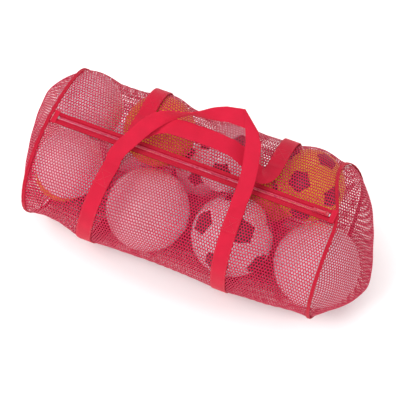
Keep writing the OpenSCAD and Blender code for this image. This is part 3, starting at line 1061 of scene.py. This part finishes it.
def fold_stations(stations, fold, hinge, lean, lift, first):
    """Runs a strip's last or first station on to a fold line, lifted a little off the handle's plane"""
    face = plane_frame(hinge, lean)[2]
    a, b = fold_line(fold, hinge, lean)
    centre, half, normal = stations
    end = 0 if first else -1
    edge = (a - b) / 2
    if (edge * half[end]).sum() < 0:
        edge = -edge
    rows = []
    for t in (0.25, 0.5, 0.75, 1.0):
        c = centre[end] * (1 - t) + (a + b) / 2 * t
        rows.append((c, half[end] * (1 - t) + edge * t, normal[end]))
    added = tuple(np.array([row[k] for row in rows]) for k in range(3))
    if first:
        joined = stack(backwards(added), stations)
    else:
        joined = stack(stations, added)
    ramp = np.linalg.norm(joined[0] - (a + b) / 2, axis=1, keepdims=True)
    shift = face * lift * (1 - smooth(0.0, 60 * MM, ramp))
    return joined[0] + shift, joined[1], joined[2]


def fold_roll(fold, hinge, lean, lift):
    """The rounded edge where the webbing turns over on itself"""
    face = plane_frame(hinge, lean)[2]
    a, b = fold_line(fold, hinge, lean)
    ring = [(math.cos(t), math.sin(t)) for t in np.linspace(0, 2 * math.pi, 12, endpoint=False)]
    along = unit(b - a)
    t = np.linspace(0, 1, 9)[:, None]
    centre = a + (b - a) * t
    half = np.tile(face * (WEB_THICK + abs(lift)) * 0.98, (9, 1))
    normal = np.tile(np.cross(along, face), (9, 1))
    return ribbon(centre, half, normal, 2.6 * MM, ring)


def root_box(stations, near):
    """Lines of the sewn box with its crossed bars, over the last few centimetres of a handle"""
    along = run_lengths(stations[0])

    def at(u, v, count=14):
        marks = np.linspace(v[0], v[1], count)
        side = np.linspace(u[0], u[1], count)[:, None]
        c, h, n = (between(marks, along, part) for part in stations)
        n = n * near
        return c + h * side + n * (WEB_THICK / 2 + 0.1 * MM), n

    low, high, edge = 4 * MM, 38 * MM, 0.8
    return [at((-edge, edge), (low, low)), at((-edge, edge), (high, high)), at((-edge, -edge), (low, high)),
            at((edge, edge), (low, high)), at((-edge, edge), (low, high)), at((edge, -edge), (low, high))]


class BALLBAG_OT_handles(bpy.types.Operator):
    """Shape the two carrying handles and sew their ends to the straps with crossed boxes"""

    bl_idname = "ballbag.handles"
    bl_label = "Handles"

    def execute(self, context):
        left = stack(root_stations(-1, False, FRONT_ROUTE[0][0]),
                     tuple(part[2:] for part in route_stations(FRONT_ROUTE, FRONT_HINGE, FRONT_LEAN)))
        left = fold_stations(left, FRONT_FOLD, FRONT_HINGE, FRONT_LEAN, FOLD_LIFT, False)
        centre, half, normal = (part[:-2] for part in route_stations(FRONT_LEG, FRONT_HINGE, FRONT_LEAN))
        leg = centre, -half, -normal
        root = matched(backwards(root_stations(1, False, FRONT_LEG[-1][0])), 0, leg, -1)
        right = fold_stations(stack(leg, root), FRONT_FOLD, FRONT_HINGE, FRONT_LEAN, -FOLD_LIFT, True)
        strips = [ribbon(*left, WEB_THICK), ribbon(*right, WEB_THICK),
                  fold_roll(FRONT_FOLD, FRONT_HINGE, FRONT_LEAN, FOLD_LIFT)]
        self.finish("front", join_parts(strips), line_length(left[0]) + line_length(right[0]), FRONT_HINGE,
                    FRONT_LEAN, (left, turned(right)))

        middle = tuple(part[2:-2] for part in free_stations(REAR_ROUTE, REAR_FACE))
        first = matched(root_stations(-1, True, REAR_ROUTE[0][0]), -1, middle, 0)
        last = matched(backwards(root_stations(1, True, REAR_ROUTE[-1][0])), 0, middle, -1)
        whole = stack(first, middle, last)
        self.finish("rear", ribbon(*whole, WEB_THICK), line_length(whole[0]), REAR_HINGE, REAR_LEAN,
                    (whole, turned(whole)))
        return {"FINISHED"}

    def finish(self, word, strip, length, hinge, lean, ends):
        thing = cloth_piece(f"handle_webbing_{word}", strip, 50, None, webbing_material(),
                            f"handle_{word}")
        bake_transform(thing)
        for stations, side in zip(ends, ("left", "right")):
            outwards = stations[0][0] - np.array([0, 0, AXIS_Z])
            near = 1 if (stations[2][0] * outwards)[1:].sum() > 0 else -1
            stitches(f"root_thread_{word}_{side}", root_box(stations, near),
                     nodes=[f"root_stitching_{word}_{side}"])


# ---------- Zipper ----------

def straight_tape(y_low, y_high, z, thickness, x_low, x_high, wave=0.0, profile=WEB_PROFILE):
    """A strip along the bag with softly uneven edges. The first edge is at y_low"""
    steps = 180
    x = np.linspace(x_low, x_high, steps)
    sway = wave * np.sin(x / 0.017) * np.sin(x / 0.071)
    centre = np.stack([x, np.full(steps, (y_low + y_high) / 2) + sway,
                       z + wave * 0.4 * np.sin(x / 0.023)], axis=-1)
    half = np.tile([0, (y_high - y_low) / 2, 0], (steps, 1))
    normal = np.tile([0, 0, 1.0], (steps, 1))
    return ribbon(centre, half, normal, thickness, profile)


def zipper_box():
    low, high = cad_box("zip_tape_front")
    return low[0], high[0]


def tooth_source():
    """One turn of the coil, a small rounded hook"""
    bpy.ops.object.select_all(action="DESELECT")
    bpy.ops.mesh.primitive_cube_add(size=1.0, scale=(1.35 * MM, 3.4 * MM, 2.0 * MM))
    source = settle(bpy.context.object)
    edit_all(source)
    bpy.ops.mesh.bevel(offset=0.5 * MM, segments=1, affect="EDGES")
    bpy.ops.object.mode_set(mode="OBJECT")
    return source


class BALLBAG_OT_zipper(bpy.types.Operator):
    """Make the zipper's tapes, edge strips, coils, stops and end tabs"""

    bl_idname = "ballbag.zipper"
    bl_label = "Zipper"

    def execute(self, context):
        values = settings()
        x_low, x_high = zipper_box()
        for side, word in ((-1, "front"), (1, "rear")):
            inner, outer = ZIP_Y + side * 0.8 * MM, ZIP_Y + side * ZIP_HALF
            strip = straight_tape(min(inner, outer), max(inner, outer), ZIP_Z + 0.5 * MM, 0.9 * MM,
                                  x_low, x_high)
            tape = cloth_piece(f"tape_{word}", strip, 50, "bag", binding_material(),
                               f"zip_tape_{word}")

            inner = ZIP_Y + side * (ZIP_HALF - ZIP_STRIP)
            strip = straight_tape(outer, inner, ZIP_Z + 2.1 * MM, 1.7 * MM, x_low, x_high, 0.35 * MM,
                                  FOLD_PROFILE)
            cover = cloth_piece(f"edge_strip_{word}", strip, 50, "bag", binding_material(),
                                f"zip_strip_{word}")
            x = np.linspace(x_low + 4 * MM, x_high - 4 * MM, 60)
            up = np.tile([0, 0, 1.0], (60, 1))
            rows = [(np.stack([x, np.full(60, (inner + outer) / 2 + s * 2.8 * MM),
                               np.full(60, ZIP_Z + 3.0 * MM)], axis=-1), up) for s in (-1, 1)]
            stitches(f"zip_stitches_{word}", rows, 0.7 * MM)

            low, high = cad_box(f"zip_teeth_{word}")
            marks = np.arange(low[0] + 1.5 * MM, high[0] - 1.5 * MM, values.tooth_pitch)
            marks = marks + (0.5 * values.tooth_pitch if side > 0 else 0)
            y = ZIP_Y + side * 2.2 * MM
            places = [frame_at(np.array([m, y, ZIP_Z + 2.1 * MM]), np.array([1.0, 0.16 * side, 0]),
                               np.array([0, 0, 1.0])) for m in marks]
            coil = copies(f"coil_{word}", tooth_source(), places)
            shade(coil, 60)
            hand_over(coil, "bag",
                      [plastic_material("Coil nylon", values.coil_colour, 0.28, coat=0.4)],
                      [f"zip_teeth_{word}"])
        self.stops()
        for word in ("left", "right"):
            self.end_tab(word)
        return {"FINISHED"}

    def stops(self):
        """Two bent clips at the ends of the coil"""
        low, high = cad_box("zip_stops")
        made = []
        for x in (low[0] + 1.5 * MM, high[0] - 1.5 * MM):
            bpy.ops.object.select_all(action="DESELECT")
            bpy.ops.mesh.primitive_cube_add(size=1.0, location=(x, ZIP_Y, (low[2] + high[2]) / 2),
                                            scale=(2.8 * MM, 7.0 * MM, 1.1 * MM))
            clip = settle(bpy.context.object)
            edit_all(clip)
            bpy.ops.mesh.subdivide(number_cuts=2)
            bpy.ops.mesh.bevel(offset=0.3 * MM, segments=1, affect="EDGES")
            bpy.ops.object.mode_set(mode="OBJECT")
            made.append(clip)
        bpy.ops.object.select_all(action="DESELECT")
        for clip in made:
            clip.select_set(True)
        bpy.context.view_layer.objects.active = made[0]
        bpy.ops.object.join()
        clips = settle(bpy.context.object)
        clips.name = "zip_stop_clips"
        shade(clips, 40)
        hand_over(clips, "bag", [plastic_material("Clip metal", (0.62, 0.6, 0.6), 0.32, 1.0)],
                  ["zip_stops"])

    def end_tab(self, word):
        """A folded tab of webbing sewn over the end of the zipper"""
        low, high = cad_box(f"zip_end_tab_{word}")
        y = np.linspace(low[1], high[1], 30)
        edge = smooth(0, 5 * MM, np.minimum(y - low[1], high[1] - y))
        centre = np.stack([np.full(30, (low[0] + high[0]) / 2), y,
                           (low[2] + high[2]) / 2 - 0.7 * MM * (1 - edge)], axis=-1)
        half = np.tile([-(high[0] - low[0]) / 2, 0, 0], (30, 1))
        normal = np.tile([0, 0, 1.0], (30, 1))
        strip = ribbon(centre, half, normal, high[2] - low[2])
        tab = cloth_piece(f"end_tab_{word}", strip, 50, "bag", webbing_material(),
                          f"zip_end_tab_{word}")
        x0, x1, y0, y1 = low[0] + 2.5 * MM, high[0] - 2.5 * MM, low[1] + 3 * MM, high[1] - 3 * MM
        ring = np.array([(x0, y0), (x1, y0), (x1, y1), (x0, y1), (x0, y0)])
        lines = []
        for a, b in zip(ring[:-1], ring[1:]):
            t = np.linspace(0, 1, 6)[:, None]
            flat = a + (b - a) * t
            lines.append((np.c_[flat, np.full(6, high[2] + 0.1 * MM)], np.tile([0, 0, 1.0], (6, 1))))
        stitches(f"end_tab_stitches_{word}", lines, 0.8 * MM)


class BALLBAG_OT_slider(bpy.types.Operator):
    """Round off the zipper's slider and its pull tab"""

    bl_idname = "ballbag.slider"
    bl_label = "Slider and pull tab"

    def execute(self, context):
        paint = plastic_material("Slider paint", settings().binding_colour, 0.32, 0.0, 0.5)
        for node, name, body in (("zip_slider", "slider_body", "slider"),
                                 ("zip_pull_tab", "pull_tab", "pull_tab")):
            source = frame["nodes"][node]
            thing = bpy.data.objects.new(name, source.data.copy())
            bpy.context.scene.collection.objects.link(thing)
            edit_all(thing)
            bpy.ops.mesh.remove_doubles(threshold=0.01 * MM)
            bpy.ops.mesh.dissolve_limited(angle_limit=math.radians(2))
            bpy.ops.object.mode_set(mode="OBJECT")
            apply_modifier(thing, "BEVEL", width=0.25 * MM, segments=2, limit_method="ANGLE",
                           angle_limit=math.radians(40))
            shade(thing, 40)
            hand_over(thing, body, [paint], [node])
        return {"FINISHED"}


# ---------- Balls ----------

# Style of each ball, its turn in degrees, and the colours of its hexagons and pentagons
BALL_STYLES = {
    "ball_front_1": ("plain", (20, 65, 10), "white", "white"),
    "ball_front_2": ("panelled", (0, 40, 12), "white", "white"),
    "ball_front_3": ("panelled", (-37.4, -29.8, 79.5), "white", "dark"),
    "ball_front_4": ("plain", (70, 20, 40), "white", "white"),
    "ball_top_1": ("plain", (50, 10, 80), "white", "white"),
    "ball_top_2": ("plain", (30, 50, 20), "orange", "orange"),
    "ball_top_3": ("panelled", (57.1, 25.4, -179.3), "white", "dark"),
    "ball_top_4": ("panelled", (-23.3, 21.0, -157.8), "yellow", "dark"),
    "ball_under_1": ("plain", (10, 30, 60), "orange", "orange"),
    "ball_under_2": ("plain", (80, 40, 10), "white", "white"),
    "ball_under_3": ("panelled", (15, 35, 50), "white", "dark"),
    "ball_under_4": ("plain", (60, 15, 30), "orange", "orange"),
}


# Name of each skin, size of its pebbles, roughness and coat
SKINS = {"white": ("White rubber", 2.6 * MM, 0.38, 0.15), "orange": ("Orange rubber", 2.2 * MM, 0.5, 0.05),
         "yellow": ("Yellow rubber", 2.6 * MM, 0.38, 0.15), "dark": ("Dark rubber", 2.6 * MM, 0.42, 0.15)}

# How far a ball's skin lies inside its full size, and how deep its seams, mould lines and valve are
SKIN_INSET, SEAM_DEPTH, LINE_DEPTH, VALVE_DEPTH = 0.2 * MM, 0.9 * MM, 0.6 * MM, 0.8 * MM


def skin(word):
    name, pebble, roughness, coat = SKINS[word]
    return ball_material(name, getattr(settings(), f"{word}_colour"), pebble, roughness, coat)


def place_ball(ball, directions, radii, centre, turn):
    """Rounds a ball to a radius for each vertex, and puts it in the bag"""
    ball.data.vertices.foreach_set("co", (directions * radii[:, None]).ravel())
    ball.rotation_euler = Euler([math.radians(t) for t in turn])
    ball.location = centre
    return settle(ball)


def panelled_ball(name, centre, radius, turn):
    """Twelve pentagons and twenty hexagons with sunk seams, rounded up from an icosahedron"""
    bpy.ops.object.select_all(action="DESELECT")
    bpy.ops.mesh.primitive_ico_sphere_add(subdivisions=1, radius=radius)
    ball = bpy.context.object
    ball.name = name
    edit_all(ball)
    bpy.ops.mesh.bevel(offset_type="PERCENT", offset_pct=100 / 3, affect="VERTICES")
    bpy.ops.mesh.select_all(action="SELECT")
    bpy.ops.mesh.inset(thickness=1.1 * MM, use_individual=True)
    bpy.ops.object.mode_set(mode="OBJECT")
    mesh = ball.data
    inside = {v for face in mesh.polygons if face.select for v in face.vertices}
    seam = ball.vertex_groups.new(name="Seam")
    seam.add([v.index for v in mesh.vertices if v.index not in inside], 1.0, "REPLACE")
    seam.add(sorted(inside), 0.0, "REPLACE")
    for face in mesh.polygons:
        face.material_index = 1 if face.select and len(face.vertices) == 5 else 0
    only(ball)
    apply_modifier(ball, "SUBSURF", subdivision_type="SIMPLE", levels=3, render_levels=3)
    points = unit(coordinates(mesh))
    weight = np.array([sum(g.weight for g in v.groups) for v in mesh.vertices])
    ball.vertex_groups.clear()
    return place_ball(ball, points, radius - SKIN_INSET - SEAM_DEPTH * smooth(0.0, 1.0, weight), centre, turn)


def plain_ball(name, centre, radius, turn):
    """A moulded play ball: two sunk mould lines and a small valve dimple at the top"""
    bpy.ops.object.select_all(action="DESELECT")
    bpy.ops.mesh.primitive_uv_sphere_add(segments=64, ring_count=32, radius=radius - SKIN_INSET)
    ball = bpy.context.object
    ball.name = name
    mesh = ball.data
    ring = [e.index for e in mesh.edges
            if all(abs(mesh.vertices[v].co.z) < 1e-5 for v in e.vertices)
            or all(abs(mesh.vertices[v].co.x) < 1e-5 for v in e.vertices)]
    bpy.ops.object.mode_set(mode="EDIT")
    bpy.ops.mesh.select_mode(type="EDGE")
    bpy.ops.mesh.select_all(action="DESELECT")
    bpy.ops.object.mode_set(mode="OBJECT")
    for e in ring:
        mesh.edges[e].select = True
    bpy.ops.object.mode_set(mode="EDIT")
    bpy.ops.mesh.bevel(offset=1.0 * MM, segments=2, affect="EDGES")
    bpy.ops.mesh.select_mode(type="VERT")
    bpy.ops.object.mode_set(mode="OBJECT")
    points = unit(coordinates(mesh))
    line = np.minimum(np.abs(points[:, 0]), np.abs(points[:, 2])) * radius
    top = np.hypot(points[:, 0], points[:, 1]) * radius
    depth = LINE_DEPTH * (line < 0.2 * MM) + VALVE_DEPTH * (top < 4 * MM)
    return place_ball(ball, points, radius - SKIN_INSET - depth, centre, turn)


class BALLBAG_OT_balls(bpy.types.Operator):
    """Fill the bag with its balls"""

    bl_idname = "ballbag.balls"
    bl_label = "Balls"

    def execute(self, context):
        for node, (style, turn, main, patch) in BALL_STYLES.items():
            centre, radius = BALLS[node]
            make = panelled_ball if style == "panelled" else plain_ball
            ball = make(node.replace("ball_", "play_ball_"), centre, radius, turn)
            shade(ball)
            hand_over(ball, "bag", None, [node])
            ball.data.materials.append(skin(main))
            if style == "panelled":
                ball.data.materials.append(skin(patch))
        return {"FINISHED"}


# ---------- Stage ----------

VIEW_AZIMUTH, VIEW_ELEVATION, VIEW_DISTANCE = 23.0, 59.0, 4.0
LOOK_AT = Vector((-0.012, 0.0, 0.170))
LENS, SHIFT_X, SHIFT_Y = 148.8, 0.01125, -0.02125


# The floor glows a little, so that it looks white, but not under the bag, which paints the bag's shadow
# there: half length and width of that painted shadow
FLOOR_GLOW, SHADE_LENGTH, SHADE_WIDTH = 0.3, 0.46, 0.24

# Name, place, size and power of each soft light, and what they point at
LIGHTS = (("Key", (-1.6, -2.2, 3.4), 2.2, 112), ("Fill", (2.6, -0.8, 2.6), 2.6, 30),
          ("Back", (0.2, 2.8, 2.8), 2.6, 38))
LIGHT_AIM, ROOM_LIGHT = Vector((0, 0, 0.15)), 0.62


def floor_material():
    """Pale matt floor with a faint uneven tone, glowing a little everywhere but in a painted shadow under the
    bag
    """
    colour = settings().floor_colour
    material, tree, shader = new_material("Pale floor", 0.9, colour)
    place, tone = uneven_tone(tree, 3.0)
    tree.links.new(mix_colour(tree, tone, shaded(colour, 0.99), shaded(colour, 1.0)),
                   shader.inputs["Base Color"])
    # Painted shadow: the floor glows outside the bag's place and not under it, so it is darker under the bag
    shader.inputs["Emission Color"].default_value = (1, 1, 1, 1)
    narrow = tree.nodes.new("ShaderNodeMapping")
    narrow.inputs["Scale"].default_value = (1 / SHADE_LENGTH, 1 / SHADE_WIDTH, 0)
    tree.links.new(place, narrow.inputs["Vector"])
    reach = tree.nodes.new("ShaderNodeVectorMath")
    reach.operation = "LENGTH"
    tree.links.new(narrow.outputs[0], reach.inputs[0])
    clear = tree.nodes.new("ShaderNodeMapRange")
    clear.inputs["From Min"].default_value = 0.8
    clear.inputs["From Max"].default_value = 1.25
    clear.inputs["To Max"].default_value = FLOOR_GLOW
    tree.links.new(reach.outputs["Value"], clear.inputs["Value"])
    tree.links.new(clear.outputs["Result"], shader.inputs["Emission Strength"])
    return material


class BALLBAG_OT_stage(bpy.types.Operator):
    """Set up the camera, the pale floor and the soft light"""

    bl_idname = "ballbag.stage"
    bl_label = "Stage"

    def execute(self, context):
        scene = context.scene
        turn, rise = math.radians(VIEW_AZIMUTH), math.radians(VIEW_ELEVATION)
        away = Vector((math.sin(turn) * math.cos(rise), -math.cos(turn) * math.cos(rise), math.sin(rise)))
        camera = bpy.data.objects.new("Camera", bpy.data.cameras.new("Camera"))
        scene.collection.objects.link(camera)
        camera.location = LOOK_AT + away * VIEW_DISTANCE
        camera.rotation_euler = away.to_track_quat("Z", "Y").to_euler()
        camera.data.lens = LENS
        camera.data.shift_x, camera.data.shift_y = SHIFT_X, SHIFT_Y
        camera.data.clip_end = 50
        scene.camera = camera

        bpy.ops.object.select_all(action="DESELECT")
        bpy.ops.mesh.primitive_plane_add(size=14, location=(0, 0, -0.0005))
        floor = settle(context.object)
        floor.name = "floor"
        floor.data.materials.append(floor_material())

        for name, place, size, power in LIGHTS:
            light = bpy.data.objects.new(name, bpy.data.lights.new(name, "AREA"))
            scene.collection.objects.link(light)
            light.data.energy, light.data.size = power, size
            light.location = place
            light.rotation_euler = (Vector(place) - LIGHT_AIM).to_track_quat("Z", "Y").to_euler()
        world = bpy.data.worlds.new("Soft white room")
        world.use_nodes = True
        world.node_tree.nodes["Background"].inputs["Color"].default_value = (1, 1, 1, 1)
        world.node_tree.nodes["Background"].inputs["Strength"].default_value = ROOM_LIGHT
        scene.world = world
        scene.view_settings.view_transform = "Standard"
        return {"FINISHED"}


# ---------- Panel and start ----------

OPERATORS = (BALLBAG_OT_stage, BALLBAG_OT_long_net, BALLBAG_OT_end_nets, BALLBAG_OT_bindings,
             BALLBAG_OT_straps, BALLBAG_OT_handles, BALLBAG_OT_zipper, BALLBAG_OT_slider, BALLBAG_OT_balls)


class BALLBAG_PT_panel(bpy.types.Panel):
    """Lists the pieces of the ball bag"""

    bl_idname = "BALLBAG_PT_panel"
    bl_label = "Ball Bag"
    bl_space_type = "VIEW_3D"
    bl_region_type = "UI"
    bl_category = "Ball Bag"

    def draw(self, context):
        for name in BallBagSettings.__annotations__:
            self.layout.prop(context.scene.ball_bag, name)
        for operator in OPERATORS:
            self.layout.operator(operator.bl_idname)


def register():
    for item in (BallBagSettings, *OPERATORS, BALLBAG_PT_panel):
        bpy.utils.register_class(item)
    bpy.types.Scene.ball_bag = PointerProperty(type=BallBagSettings)


def unregister():
    del bpy.types.Scene.ball_bag
    for item in (BALLBAG_PT_panel, *reversed(OPERATORS), BallBagSettings):
        bpy.utils.unregister_class(item)


def main():
    register()
    for operator in OPERATORS:
        group, name = operator.bl_idname.split(".")
        getattr(getattr(bpy.ops, group), name)()
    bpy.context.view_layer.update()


if __name__ == "__main__":
    main()
